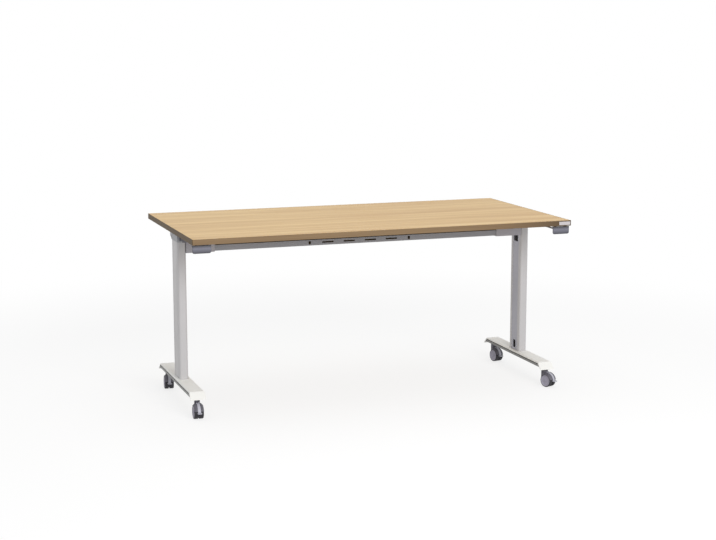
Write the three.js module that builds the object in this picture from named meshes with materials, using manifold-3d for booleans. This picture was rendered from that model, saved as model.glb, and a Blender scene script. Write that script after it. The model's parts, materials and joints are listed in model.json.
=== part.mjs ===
// Flip top training table: a laminated top that tips up on two wheeled legs joined by a cable beam.
// Millimetres, +Z up, origin on the floor under the middle of the top, +X along the length, -Y to the user.

import * as THREE from 'three';
import { mergeVertices } from 'three/addons/utils/BufferGeometryUtils.js';
import Module from 'manifold-3d';

const wasm = await Module();
wasm.setup();

// Fits: a gap between fixed parts, the play of moving ones, and how far a cut or a join runs past a face
const GAP = 0.3;
const RUN = 0.3;
const PAST = 1;

// Tabletop
const TOP_LENGTH = 1600;
const TOP_DEPTH = 800;
const TABLE_HEIGHT = 730;
const BOARD_THICK = 22;
const BAND_THICK = 2;
const TOP_CORNER = 3;
const LABEL_LONG = 50;
const LABEL_TALL = 14;
const LABEL_THICK = 0.8;
const LABEL_FROM_END = 5;
const LABEL_CORNER = 2;

// Legs
const LEG_INSET = 40;
const COLUMN_WIDE = 36;
const COLUMN_DEEP = 100;
const COLUMN_CORNER = 9;
const COLUMN_WALL = 2.5;
const COLUMN_TOP_DROP = 62;
const FLUTE_WIDE = 3;
const FLUTE_DEEP = 0.8;
const FLUTE_SPACING = 56;
const COVER_MOUTH = 56;
const COVER_RECESS = 0.5;
const COVER_LIP = 4;
const COVER_LIP_THICK = 1.5;
const CABLE_IN_WIDE = 40;
const CABLE_IN_TALL = 29;
const CABLE_IN_DROP = 64;
const CABLE_IN_CORNER = 5;
const CABLE_OUT_WIDE = 24;
const CABLE_OUT_TALL = 34;
const CABLE_OUT_RISE = 28;
const CABLE_OUT_CORNER = 3;

// Feet
const FOOT_WIDE = 62;
const FOOT_FLAT = 526;
const FOOT_TOP = 104;
const FOOT_WALL = 3;
const FOOT_FLANGE = 18;
const FOOT_NOSE = 28;
const FOOT_EDGE = 5;
const FOOT_GROOVE_TALL = 5;
const FOOT_GROOVE_DEEP = 1.4;
const FOOT_BOLT_RADIUS = 5;
const FOOT_BOLT_HEAD = 9;
const FOOT_BOLT_HEAD_TALL = 6;
const NUT_DEEP = 80;
const NUT_TALL = 11;

// Castors
const STEM_SPACING = 514;
const CASTOR_TRAIL = 26;
const CASTOR_TURNS = { left_front: -3, left_back: -6, right_front: 22, right_back: 10 };
const WHEEL_RADIUS = 27.5;
const WHEEL_WIDE = 16.5;
const WHEEL_SIDES = 26;
const WHEEL_ROUND = 3;
const WHEEL_SHOULDER = 5;
const WHEEL_DISH = 3;
const WHEEL_RIM = 7;
const CASTOR_WEB = 5;
const WEB_RADIUS = 22;
const AXLE_RADIUS = 3;
const AXLE_HEAD = 5.5;
const AXLE_HEAD_THICK = 1.6;
const STEM_RADIUS = 5;
const STEM_COLLAR = 9;
const STEM_DEEP = 14;
const STEM_GRIP = 15;
const BOSS_RADIUS = 11;
const BOSS_TALL = 17;
const NECK_RADIUS = 10;
const NECK_FORWARD = 16;
const NECK_TOP = 73;
const HOOD_GAP = 3.5;
const HOOD_THICK = 3.5;
const HOOD_SHOULDER = 7;
const HOOD_SKIRT_THICK = 1.6;
const HOOD_FROM = 52;
const HOOD_TO = 166;
const PEDAL_WIDE = 11;
const PEDAL_THICK = 3;
const PEDAL_PIN = 2;
const PEDAL_EAR = 3.4;
const PEDAL_PIN_AT = 86;
const PEDAL_FROM = 96;
const PEDAL_TO = 176;
const TOE_WIDE = 17;
const TOE_LONG = 12;

// Beam
const BEAM_BASE_DROP = 82;
const BEAM_TALL = 23;
const BEAM_WALL = 2.5;
const BEAM_DEEP = 94;
const BEAM_END_LONG = 118;
const BEAM_END_WALL = 3;
const BEAM_END_TOP_DROP = 8;
const BEAM_GRIP = 30;
const SLOT_LONG = 50;
const SLOT_TALL = 6;
const SLOT_PITCH = 94;
const SLOT_RISE = 12;
const TIE_HOLE_WIDE = 10;
const TIE_HOLE_TALL = 13;
const TIE_HOLE_SPACING = 440;

// Flip heads and brackets
const PIVOT_BEHIND_COLUMN = 12;
const PIVOT_DROP = 18;
const PIVOT_PIN_RADIUS = 5;
const PIVOT_PIN_HEAD = 7;
const PIVOT_PIN_HEAD_THICK = 1.5;
const HEAD_CHEEK = 5;
const HEAD_FLOOR = 8;
const HEAD_SPIGOT_TALL = 18;
const HEAD_SPIGOT_DEEP = 70;
const BRACKET_WIDE = 68;
const BRACKET_THICK = 3;
const BRACKET_BACK = 34;
const BRACKET_FRONT = 85;
const KNUCKLE_RADIUS = 12;

// Latch, pull rod and lever
const BOLT_WIDE = 20;
const BOLT_TALL = 10;
const BOLT_LONG = 53;
const BOLT_DROP = 21;
const BOLT_PAST_WALL = 0.5;
const GUIDE_WIDE = 30;
const GUIDE_DEEP = 18;
const GUIDE_FROM_HEAD = 10;
const GUIDE_BELOW_BOLT = 4;
const STOP_THICK = 4;
const ROD_RADIUS = 3;
const ROD_BAR_RADIUS = 2;
const SPRING_LONG = 27;
const SPRING_WIRE = 0.6;
const SPRING_RADIUS = 4.6;
const SPRING_CURLS = 7;
const LEVER_WIDE = 74;
const LEVER_THICK = 5;
const LEVER_SKIN = 1;
const LEVER_FROM_EDGE = 10;
const LEVER_TOP_DROP = 4;
const LEVER_TALL = 31;
const LEVER_CORNER = 8;
const LEVER_LIP = 14;
const LEVER_LIP_THICK = 4;
const LEVER_PIN_RADIUS = 2.5;
const LEVER_PIN_BACK = 1;
const LEVER_PIN_DROP = 6;
const LEVER_BARREL = 5;
const LEVER_RIB = 3;
const LEVER_RIB_SPACING = 12;
const LEVER_RIB_TALL = 18;
const LEVER_BAR_BACK = 5;
const LEVER_SLOT_SPARE = 1;
const HOUSING_WIDE = 60;
const HOUSING_LONG = 46;
const HOUSING_THICK = 4;
const HOUSING_FROM_LEVER = 2;
const HOUSING_EAR = 6;
const HOUSING_EAR_SPACING = 46;
const HOUSING_EAR_RADIUS = 4.2;

// Heights and places that follow from the sizes above
const underside = TABLE_HEIGHT - BOARD_THICK;
const bracketBase = underside - BRACKET_THICK;
const columnTop = TABLE_HEIGHT - COLUMN_TOP_DROP;
const legX = TOP_LENGTH / 2 - LEG_INSET;
const frontEdge = -TOP_DEPTH / 2;
const columnFront = -COLUMN_DEEP / 2;
const pivotY = COLUMN_DEEP / 2 + PIVOT_BEHIND_COLUMN;
const pivotZ = underside - PIVOT_DROP;
const boltZ = underside - BOLT_DROP;
const leverPinY = frontEdge + LEVER_FROM_EDGE + LEVER_THICK + LEVER_PIN_BACK;
const leverPinZ = underside - LEVER_PIN_DROP;
const rodFrontY = leverPinY + LEVER_BAR_BACK;
const guideFrontY = columnFront - GUIDE_FROM_HEAD - GUIDE_DEEP;
const boltTipY = columnFront + HEAD_CHEEK + BOLT_PAST_WALL;
const boltFrontY = boltTipY - BOLT_LONG;
const stopBackY = boltFrontY - SPRING_LONG - 2 * GAP;
const axleZ = WHEEL_RADIUS * Math.cos(Math.PI / WHEEL_SIDES);

// Finishes
function finish(color, roughness, metalness) {
  return () => new THREE.MeshStandardMaterial({ color, roughness, metalness });
}
const oakLaminate = finish(0xdbbe96, 0.45, 0);
const oakBand = finish(0x8c7258, 0.5, 0);
const paleLabel = finish(0xcdc3be, 0.4, 0.1);
const silverPaint = finish(0xb9b7be, 0.45, 0.3);
const greyPaint = finish(0x86868b, 0.5, 0.3);
const whitePaint = finish(0xe6e6e0, 0.4, 0.1);
const castGrey = finish(0xa9a9ac, 0.5, 0.4);
const steel = finish(0x9a9aa0, 0.35, 0.9);
const slatePlastic = finish(0x797b88, 0.55, 0);
const darkPlastic = finish(0x4b4a52, 0.55, 0);
const wheelGrey = finish(0x6a6872, 0.6, 0);
const pedalGrey = finish(0xc8c8d2, 0.5, 0);

// Shape helpers
function outward(geometry) {
  const plain = new THREE.BufferGeometry();
  plain.setAttribute('position', geometry.getAttribute('position').clone());
  if (geometry.index) plain.setIndex(geometry.index.clone());
  const merged = mergeVertices(plain, 1e-3);
  const place = merged.getAttribute('position');
  const index = merged.index.array;
  const kept = [];
  let volume = 0;
  const [a, b, c] = [new THREE.Vector3(), new THREE.Vector3(), new THREE.Vector3()];
  for (let i = 0; i < index.length; i += 3) {
    const [p, q, r] = [index[i], index[i + 1], index[i + 2]];
    if (p === q || q === r || r === p) continue;
    a.fromBufferAttribute(place, p);
    b.fromBufferAttribute(place, q);
    c.fromBufferAttribute(place, r);
    volume += a.dot(b.clone().cross(c));
    kept.push(p, q, r);
  }
  if (volume < 0) kept.reverse();
  merged.setIndex(kept);
  return merged;
}

function solid(geometry) {
  const closed = outward(geometry);
  const vertProperties = new Float32Array(closed.getAttribute('position').array);
  const triVerts = new Uint32Array(closed.index.array);
  return new wasm.Manifold(new wasm.Mesh({ numProp: 3, vertProperties, triVerts }));
}

function geometryOf(body) {
  const mesh = body.getMesh();
  const geometry = new THREE.BufferGeometry();
  geometry.setAttribute('position', new THREE.BufferAttribute(mesh.vertProperties, 3));
  geometry.setIndex(new THREE.BufferAttribute(mesh.triVerts, 1));
  return geometry;
}

function join(first, ...others) {
  return geometryOf(others.reduce((body, next) => body.add(solid(next)), solid(first)));
}

function cut(first, ...tools) {
  return geometryOf(tools.reduce((body, tool) => body.subtract(solid(tool)), solid(first)));
}

function overlap(first, second) {
  return geometryOf(solid(first).intersect(solid(second)));
}

// A block between two opposite corners.
function block(x0, x1, y0, y1, z0, z1) {
  const box = new THREE.BoxGeometry(Math.abs(x1 - x0), Math.abs(y1 - y0), Math.abs(z1 - z0));
  return box.translate((x0 + x1) / 2, (y0 + y1) / 2, (z0 + z1) / 2);
}

// A round bar centred on a point, with its axis along x, y or z.
function bar(axis, radius, from, to, u, v, sides = 14) {
  const cylinder = new THREE.CylinderGeometry(radius, radius, to - from, sides);
  const middle = (from + to) / 2;
  if (axis === 'x') return cylinder.rotateZ(Math.PI / 2).translate(middle, u, v);
  if (axis === 'y') return cylinder.translate(u, middle, v);
  return cylinder.rotateX(Math.PI / 2).translate(u, v, middle);
}

function outline(points) {
  return new THREE.Shape(points.map(([x, y]) => new THREE.Vector2(x, y)));
}

// An outline drawn in (y, z), drawn out along x between two places.
function alongX(shape, x0, x1, curveSegments = 3) {
  const geometry = new THREE.ExtrudeGeometry(shape, { depth: x1 - x0, bevelEnabled: false, curveSegments });
  const axes = new THREE.Matrix4();
  axes.makeBasis(new THREE.Vector3(0, 1, 0), new THREE.Vector3(0, 0, 1), new THREE.Vector3(1, 0, 0));
  return geometry.applyMatrix4(axes).translate(x0, 0, 0);
}

// An outline drawn in (z, x), drawn out along y between two places.
function alongY(shape, y0, y1, curveSegments = 3) {
  const geometry = new THREE.ExtrudeGeometry(shape, { depth: y1 - y0, bevelEnabled: false, curveSegments });
  const axes = new THREE.Matrix4();
  axes.makeBasis(new THREE.Vector3(0, 0, 1), new THREE.Vector3(1, 0, 0), new THREE.Vector3(0, 1, 0));
  return geometry.applyMatrix4(axes).translate(0, y0, 0);
}

// An outline drawn in (x, y), drawn out along z between two heights.
function alongZ(shape, z0, z1, curveSegments = 3) {
  const geometry = new THREE.ExtrudeGeometry(shape, { depth: z1 - z0, bevelEnabled: false, curveSegments });
  return geometry.translate(0, 0, z0);
}

function roundedRectangle(wide, deep, radius) {
  const [x, y] = [wide / 2, deep / 2];
  const shape = new THREE.Shape();
  shape.moveTo(x, y - radius);
  shape.absarc(x - radius, y - radius, radius, 0, Math.PI / 2);
  shape.absarc(-x + radius, y - radius, radius, Math.PI / 2, Math.PI);
  shape.absarc(-x + radius, -y + radius, radius, Math.PI, 1.5 * Math.PI);
  shape.absarc(x - radius, -y + radius, radius, 1.5 * Math.PI, 2 * Math.PI);
  return shape;
}

function piece(group, name, geometry, material) {
  const mesh = new THREE.Mesh(geometry, material());
  mesh.name = name;
  group.add(mesh);
  return mesh;
}

const table = new THREE.Group();

// Tabletop: a faced board, the band glued round its edge, and a bare label plate.
function addTabletop() {
  const [boardLong, boardDeep] = [TOP_LENGTH - 2 * BAND_THICK, TOP_DEPTH - 2 * BAND_THICK];
  const [x, y] = [boardLong / 2, boardDeep / 2];
  const board = block(-x, x, -y, y, underside, TABLE_HEIGHT);
  piece(table, 'tabletop_board', board, oakLaminate);

  const ring = roundedRectangle(TOP_LENGTH, TOP_DEPTH, TOP_CORNER);
  ring.holes.push(outline([[-x, -y], [-x, y], [x, y], [x, -y]]));
  piece(table, 'edge_band', alongZ(ring, underside, TABLE_HEIGHT, 2), oakBand);

  const label = roundedRectangle(LABEL_TALL, LABEL_LONG, LABEL_CORNER);
  const plate = alongY(label, frontEdge - LABEL_THICK, frontEdge, 1);
  plate.translate(TOP_LENGTH / 2 - LABEL_FROM_END - LABEL_LONG / 2, 0, TABLE_HEIGHT - BOARD_THICK / 2);
  piece(table, 'edge_label_plate', plate, paleLabel);
}

// Column: a rolled tube with an open mouth on its inner side, for the cables.
function columnTube(inward) {
  const inside = [COLUMN_WIDE - 2 * COLUMN_WALL, COLUMN_DEEP - 2 * COLUMN_WALL];
  const skin = alongZ(roundedRectangle(COLUMN_WIDE, COLUMN_DEEP, COLUMN_CORNER), FOOT_TOP, columnTop);
  const hollow = roundedRectangle(...inside, COLUMN_CORNER - COLUMN_WALL);
  const core = alongZ(hollow, FOOT_TOP - PAST, columnTop + PAST);
  const [near, far] = [inward * (COLUMN_WIDE / 2 - COLUMN_WALL - PAST), inward * (COLUMN_WIDE / 2 + PAST)];
  const mouth = block(near, far, -COVER_MOUTH / 2, COVER_MOUTH / 2, FOOT_TOP - PAST, columnTop + PAST);
  const outer = -inward * COLUMN_WIDE / 2;
  const flutes = [-1, 1].map((side) => {
    const middle = side * FLUTE_SPACING / 2;
    const [low, high] = [middle - FLUTE_WIDE / 2, middle + FLUTE_WIDE / 2];
    return block(outer - FLUTE_DEEP, outer + FLUTE_DEEP, low, high, FOOT_TOP - PAST, columnTop + PAST);
  });
  return cut(skin, core, mouth, ...flutes);
}

// Cable cover: a strip snapped into the mouth, with a hole at each end where the cables pass.
function columnCover(inward) {
  const [low, high] = [FOOT_TOP + GAP, columnTop - GAP];
  const face = COLUMN_WIDE / 2 - COVER_RECESS;
  const lipFront = COLUMN_WIDE / 2 - COLUMN_WALL - GAP;
  const lipBack = lipFront - COVER_LIP_THICK;
  const half = COVER_MOUTH / 2 - GAP;
  const lip = COVER_MOUTH / 2 + COVER_LIP;
  const strip = block(inward * lipBack, inward * face, -half, half, low, high);
  const flange = block(inward * lipBack, inward * lipFront, -lip, lip, low, high);
  const hole = (wide, tall, corner, middle) => {
    const plug = alongX(roundedRectangle(wide, tall, corner), -COLUMN_WIDE, COLUMN_WIDE, 1);
    return plug.translate(0, 0, middle);
  };
  const cableIn = hole(CABLE_IN_WIDE, CABLE_IN_TALL, CABLE_IN_CORNER, columnTop - CABLE_IN_DROP);
  const cableOut = hole(CABLE_OUT_WIDE, CABLE_OUT_TALL, CABLE_OUT_CORNER, FOOT_TOP + CABLE_OUT_RISE);
  return cut(join(strip, flange), cableIn, cableOut);
}

// The place inside a column that is clear of its walls and of the cable cover's lip.
function insideColumn(inward) {
  const wall = -inward * (COLUMN_WIDE / 2 - COLUMN_WALL - GAP);
  const cover = inward * (COLUMN_WIDE / 2 - COLUMN_WALL - 2 * GAP - COVER_LIP_THICK);
  return [wall, cover];
}

// Flip head: a cast fork on the column, with the pivot at its back and the latch window in front.
function flipHead(inward) {
  const half = COLUMN_WIDE / 2;
  const round = PIVOT_DROP - BRACKET_THICK - GAP;
  const side = new THREE.Shape();
  side.moveTo(columnFront, columnTop);
  side.lineTo(-columnFront, columnTop);
  side.absarc(pivotY, pivotZ, round, -Math.PI / 5, Math.PI / 2);
  side.lineTo(columnFront, pivotZ + round);
  const casting = alongX(side, -half, half, 5);
  const fork = half - HEAD_CHEEK;
  const slot = block(-fork, fork, columnFront + HEAD_CHEEK, pivotY + 2 * round,
    columnTop + HEAD_FLOOR, underside);
  const reach = BOLT_WIDE / 2 + RUN;
  const window = block(-reach, reach, columnFront - PAST, columnFront + HEAD_CHEEK + PAST,
    boltZ - BOLT_TALL / 2 - RUN, boltZ + BOLT_TALL / 2 + RUN);
  const bore = bar('x', PIVOT_PIN_RADIUS + GAP, -half - PAST, half + PAST, pivotY, pivotZ);
  const sink = PIVOT_PIN_HEAD_THICK;
  const sinks = [-1, 1].map((end) => {
    const [from, to] = [end * (half - sink), end * (half + PAST)].sort((a, b) => a - b);
    return bar('x', PIVOT_PIN_HEAD + GAP, from, to, pivotY, pivotZ);
  });
  const [wall, cover] = insideColumn(inward);
  const spigot = block(wall, cover, -HEAD_SPIGOT_DEEP / 2, HEAD_SPIGOT_DEEP / 2,
    columnTop - HEAD_SPIGOT_TALL, columnTop + PAST);
  return cut(join(casting, spigot), slot, window, bore, ...sinks);
}

// Pivot pin: a headed pin through the fork and the bracket's knuckle.
function pivotPin() {
  const half = COLUMN_WIDE / 2;
  const shank = bar('x', PIVOT_PIN_RADIUS, -half, half, pivotY, pivotZ);
  const heads = [-1, 1].map((end) => {
    const [from, to] = [end * (half - PIVOT_PIN_HEAD_THICK + GAP), end * half].sort((a, b) => a - b);
    return bar('x', PIVOT_PIN_HEAD, from, to, pivotY, pivotZ);
  });
  return join(shank, ...heads);
}

// Top bracket: a plate screwed under the board, with the knuckle, the bolt's guide and the spring's stop.
function topBracket() {
  const half = BRACKET_WIDE / 2;
  const [front, back] = [columnFront - BRACKET_FRONT, pivotY + BRACKET_BACK];
  const plate = block(-half, half, front, back, bracketBase, underside);
  const knuckleHalf = COLUMN_WIDE / 2 - HEAD_CHEEK - GAP;
  const knuckle = bar('x', KNUCKLE_RADIUS, -knuckleHalf, knuckleHalf, pivotY, pivotZ, 24);
  const neck = block(-knuckleHalf, knuckleHalf, pivotY - KNUCKLE_RADIUS, pivotY + KNUCKLE_RADIUS,
    pivotZ, bracketBase + PAST);
  const guideLow = boltZ - BOLT_TALL / 2 - GUIDE_BELOW_BOLT;
  const guide = block(-GUIDE_WIDE / 2, GUIDE_WIDE / 2, guideFrontY, guideFrontY + GUIDE_DEEP,
    guideLow, bracketBase + PAST);
  const stop = block(-GUIDE_WIDE / 2, GUIDE_WIDE / 2, stopBackY - STOP_THICK, stopBackY,
    guideLow, bracketBase + PAST);
  const bore = bar('x', PIVOT_PIN_RADIUS + RUN, -half, half, pivotY, pivotZ);
  const reach = BOLT_WIDE / 2 + RUN;
  const boltWay = block(-reach, reach, guideFrontY - PAST, guideFrontY + GUIDE_DEEP + PAST,
    boltZ - BOLT_TALL / 2 - RUN, boltZ + BOLT_TALL / 2 + RUN);
  const rodWay = bar('y', ROD_RADIUS + RUN, stopBackY - STOP_THICK - PAST, stopBackY + PAST, 0, boltZ, 16);
  return cut(join(plate, knuckle, neck, guide, stop), bore, boltWay, rodWay);
}

// Latch bolt: the flat bolt that holds the top down, in its guide.
function latchBolt() {
  const half = BOLT_WIDE / 2;
  const [low, high] = [boltZ - BOLT_TALL / 2, boltZ + BOLT_TALL / 2];
  return block(-half, half, boltFrontY, boltTipY, low, high);
}

// Pull rod: a round rod from the bolt to the lever, with a cross bar at the lever's end.
function pullRod() {
  const rod = bar('y', ROD_RADIUS, rodFrontY, boltFrontY, 0, boltZ, 14);
  const reach = LEVER_RIB_SPACING / 2 + LEVER_RIB;
  const crossBar = bar('x', ROD_BAR_RADIUS, -reach, reach, rodFrontY, boltZ, 12);
  return join(rod, crossBar);
}

// Latch spring: one wire wound round the rod between the stop and the bolt.
function latchSpring() {
  const [steps, sides] = [8 * SPRING_CURLS, 5];
  const run = SPRING_LONG - 2 * SPRING_WIRE;
  const first = stopBackY + GAP + SPRING_WIRE;
  const middle = (k) => {
    const turn = 2 * Math.PI * k / 8;
    const y = first + run * k / steps;
    return new THREE.Vector3(SPRING_RADIUS * Math.cos(turn), y, SPRING_RADIUS * Math.sin(turn));
  };
  const points = [];
  for (let k = 0; k <= steps; k += 1) {
    const turn = 2 * Math.PI * k / 8;
    const out = new THREE.Vector3(Math.cos(turn), 0, Math.sin(turn));
    const along = new THREE.Vector3(0, 1, 0);
    for (let s = 0; s < sides; s += 1) {
      const angle = 2 * Math.PI * s / sides;
      const point = middle(k).addScaledVector(out, SPRING_WIRE * Math.cos(angle));
      point.addScaledVector(along, SPRING_WIRE * Math.sin(angle));
      points.push(point.x, point.y, point.z + boltZ);
    }
  }
  const faces = [];
  for (let k = 0; k < steps; k += 1) {
    for (let s = 0; s < sides; s += 1) {
      const [p, q] = [k * sides + s, k * sides + (s + 1) % sides];
      faces.push(p, q, q + sides, p, q + sides, p + sides);
    }
  }
  const last = steps * sides;
  for (let s = 1; s < sides - 1; s += 1) {
    faces.push(0, s + 1, s, last, last + s, last + s + 1);
  }
  let least = Infinity;
  for (let i = 0; i <= steps; i += 1) {
    for (let j = i + 5; j <= steps; j += 1) {
      least = Math.min(least, middle(i).distanceTo(middle(j)) - 2 * SPRING_WIRE);
    }
  }
  console.log(`latch spring: least gap to itself ${least.toFixed(2)} mm`);
  const geometry = new THREE.BufferGeometry();
  geometry.setAttribute('position', new THREE.Float32BufferAttribute(points, 3));
  geometry.setIndex(faces);
  return outward(geometry);
}

// Release lever: a moulded paddle under the front edge, turning on a pin behind its upper edge.
function releaseLever() {
  const half = LEVER_WIDE / 2;
  const front = frontEdge + LEVER_FROM_EDGE;
  const back = front + LEVER_THICK;
  const [top, bottom] = [underside - LEVER_TOP_DROP, underside - LEVER_TOP_DROP - LEVER_TALL];
  const face = new THREE.Shape();
  face.moveTo(top, -half);
  face.lineTo(top, half);
  face.lineTo(bottom + LEVER_CORNER, half);
  face.absarc(bottom + LEVER_CORNER, half - LEVER_CORNER, LEVER_CORNER, Math.PI / 2, Math.PI);
  face.absarc(bottom + LEVER_CORNER, -half + LEVER_CORNER, LEVER_CORNER, Math.PI, 1.5 * Math.PI);
  const paddle = alongY(face, front, back, 2);
  const lip = block(-half + LEVER_CORNER, half - LEVER_CORNER, back - PAST, front + LEVER_LIP,
    bottom, bottom + LEVER_LIP_THICK);
  const barrel = bar('x', LEVER_BARREL, -half, half, leverPinY, leverPinZ, 18);
  const trimmed = overlap(barrel, block(-half, half, front, leverPinY + LEVER_BARREL,
    leverPinZ - LEVER_BARREL, top));
  const ribs = [-1, 1].map((side) => {
    const [near, far] = [LEVER_RIB_SPACING / 2 + RUN, LEVER_RIB_SPACING / 2 + LEVER_RIB];
    const [x0, x1] = [side * near, side * far].sort((a, b) => a - b);
    const ribBack = rodFrontY + ROD_BAR_RADIUS + LEVER_SLOT_SPARE + LEVER_RIB;
    return block(x0, x1, back - PAST, ribBack, bottom + PAST, bottom + PAST + LEVER_RIB_TALL);
  });
  const barRoom = ROD_BAR_RADIUS + LEVER_SLOT_SPARE;
  const barWay = bar('x', barRoom, -LEVER_WIDE / 4, LEVER_WIDE / 4, rodFrontY, boltZ, 14);
  const bore = bar('x', LEVER_PIN_RADIUS + RUN, -half - PAST, half + PAST, leverPinY, leverPinZ, 16);
  const earWays = [-1, 1].map((side) => {
    const middle = side * HOUSING_EAR_SPACING / 2;
    const reach = HOUSING_EAR / 2 + 2 * RUN;
    return bar('x', LEVER_BARREL + 2 * RUN, middle - reach, middle + reach, leverPinY, leverPinZ, 18);
  });
  const skin = block(-half, half, front, front + LEVER_SKIN, leverPinZ - 2 * LEVER_BARREL, top);
  const body = cut(join(paddle, lip, trimmed, ...ribs), barWay, ...earWays);
  return cut(join(body, skin), bore);
}

// Lever housing: a moulded plate screwed under the board, with two ears that hold the lever's pin.
function leverHousing() {
  const half = HOUSING_WIDE / 2;
  const front = leverPinY + LEVER_BARREL + HOUSING_FROM_LEVER;
  const plate = block(-half, half, front, front + HOUSING_LONG, underside - HOUSING_THICK, underside);
  const ears = [-1, 1].map((side) => {
    const middle = side * HOUSING_EAR_SPACING / 2;
    const [x0, x1] = [middle - HOUSING_EAR / 2, middle + HOUSING_EAR / 2];
    const ear = bar('x', HOUSING_EAR_RADIUS, x0, x1, leverPinY, leverPinZ, 18);
    const [low, high] = [leverPinZ - HOUSING_EAR / 2, leverPinZ + HOUSING_THICK];
    const arm = block(x0, x1, leverPinY, front + HOUSING_EAR, low, high);
    return join(ear, arm);
  });
  const bore = bar('x', LEVER_PIN_RADIUS + GAP, -half, half, leverPinY, leverPinZ, 16);
  return cut(join(plate, ...ears), bore);
}

function leverPin() {
  const half = LEVER_WIDE / 2 - 2 * GAP;
  return bar('x', LEVER_PIN_RADIUS, -half, half, leverPinY, leverPinZ, 16);
}

// Foot: a pressed channel, open below, with sloped noses and a boss for each castor's stem.
function foot() {
  const half = FOOT_WIDE / 2;
  const flat = FOOT_FLAT / 2;
  const tip = flat + FOOT_NOSE;
  const low = FOOT_TOP - FOOT_NOSE;
  const hem = FOOT_TOP - FOOT_FLANGE;
  const lip = FOOT_WALL * Math.SQRT2;
  const shallow = lip - PAST;
  const side = outline([
    [-tip, low], [-flat, FOOT_TOP], [flat, FOOT_TOP], [tip, low],
    [tip - shallow, low], [tip - shallow - (hem - low), hem],
    [-tip + shallow + (hem - low), hem], [-tip + shallow, low],
  ]);
  const section = new THREE.Shape();
  section.moveTo(low - PAST, -half);
  section.lineTo(FOOT_TOP - FOOT_EDGE, -half);
  section.absarc(FOOT_TOP - FOOT_EDGE, -half + FOOT_EDGE, FOOT_EDGE, -Math.PI / 2, 0);
  section.absarc(FOOT_TOP - FOOT_EDGE, half - FOOT_EDGE, FOOT_EDGE, 0, Math.PI / 2);
  section.lineTo(low - PAST, half);
  const skin = overlap(alongX(side, -half, half), alongY(section, -tip - PAST, tip + PAST, 2));
  const under = FOOT_TOP - FOOT_WALL;
  const spread = tip - lip + PAST;
  const inside = outline([
    [-spread, low - PAST], [-spread + under - low + PAST, under],
    [spread - under + low - PAST, under], [spread, low - PAST],
  ]);
  const hollow = alongX(inside, -half + FOOT_WALL, half - FOOT_WALL);
  const bossLow = FOOT_TOP - FOOT_WALL - BOSS_TALL;
  const bosses = [-1, 1].map((end) => {
    const column = bar('z', BOSS_RADIUS, bossLow, FOOT_TOP, 0, end * STEM_SPACING / 2, 18);
    return overlap(column, alongY(section, -tip, tip, 2));
  });
  const trimmedBosses = bosses.map((boss) => overlap(boss, noseSolid(half)));
  const sockets = [-1, 1].map((end) => (
    bar('z', STEM_RADIUS + GAP, bossLow - PAST, bossLow + STEM_DEEP + GAP, 0, end * STEM_SPACING / 2, 16)
  ));
  const boltWay = bar('z', FOOT_BOLT_RADIUS + GAP, under - PAST, FOOT_TOP + PAST, 0, 0, 16);
  const grooveOuter = insetProfile(FOOT_EDGE);
  const grooveInner = insetProfile(FOOT_EDGE + FOOT_GROOVE_TALL);
  const grooveShape = outline([...grooveOuter, ...grooveInner.reverse()]);
  const grooves = [-1, 1].map((side) => {
    const ends = [side * (half - FOOT_GROOVE_DEEP), side * (half + PAST)].sort((a, b) => a - b);
    return alongX(grooveShape, ...ends);
  });
  return cut(join(cut(skin, hollow), ...trimmedBosses), ...sockets, ...grooves, boltWay);
}

// A foot's side outline over its top and its noses, moved in by a distance, drawn in (y, z).
function insetProfile(distance) {
  const flat = FOOT_FLAT / 2 + distance - distance * Math.SQRT2;
  const tip = FOOT_FLAT / 2 + FOOT_NOSE - distance * Math.SQRT2;
  const [low, high] = [FOOT_TOP - FOOT_NOSE, FOOT_TOP - distance];
  return [[-tip, low], [-flat, high], [flat, high], [tip, low]];
}

// The full wedge-ended block under a foot's outer skin, which trims the bosses to the noses.
function noseSolid(half) {
  return alongX(outline(insetProfile(0)), -half, half);
}

// Foot bolt and nut block: these clamp the column down on the foot.
function footBolt() {
  const under = FOOT_TOP - FOOT_WALL;
  const shank = bar('z', FOOT_BOLT_RADIUS, under - GAP - PAST, FOOT_TOP + NUT_TALL - PAST, 0, 0, 16);
  const head = bar('z', FOOT_BOLT_HEAD, under - GAP - FOOT_BOLT_HEAD_TALL, under - GAP, 0, 0, 6);
  return join(shank, head);
}

function nutBlock(inward) {
  const [wall, cover] = insideColumn(inward);
  const body = block(wall, cover, -NUT_DEEP / 2, NUT_DEEP / 2, FOOT_TOP, FOOT_TOP + NUT_TALL);
  return cut(body, bar('z', FOOT_BOLT_RADIUS + GAP, FOOT_TOP - PAST, FOOT_TOP + NUT_TALL + PAST, 0, 0, 16));
}

// Castor: stem, hood, axle, two wheels and a brake pedal, trailing to the front and left a little turned.
function castorStem() {
  const bossLow = FOOT_TOP - FOOT_WALL - BOSS_TALL;
  const shank = bar('z', STEM_RADIUS, NECK_TOP - STEM_GRIP, bossLow + STEM_DEEP, 0, 0, 16);
  return join(shank, bar('z', STEM_COLLAR, NECK_TOP + GAP, bossLow - GAP, 0, 0, 16));
}

// Places about the axle: a distance from it, at an angle up from the stem's side.
function aroundAxle(radius, degrees) {
  const angle = THREE.MathUtils.degToRad(degrees);
  return [-CASTOR_TRAIL + radius * Math.cos(angle), axleZ + radius * Math.sin(angle)];
}

// A ring sector about the axle, drawn in (y, z).
function axleSector(inner, outer, fromDegrees, toDegrees) {
  const [from, to] = [fromDegrees, toDegrees].map((degrees) => THREE.MathUtils.degToRad(degrees));
  const sector = new THREE.Shape();
  sector.absarc(-CASTOR_TRAIL, axleZ, outer, from, to);
  sector.absarc(-CASTOR_TRAIL, axleZ, inner, to, from, true);
  return sector;
}

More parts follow.
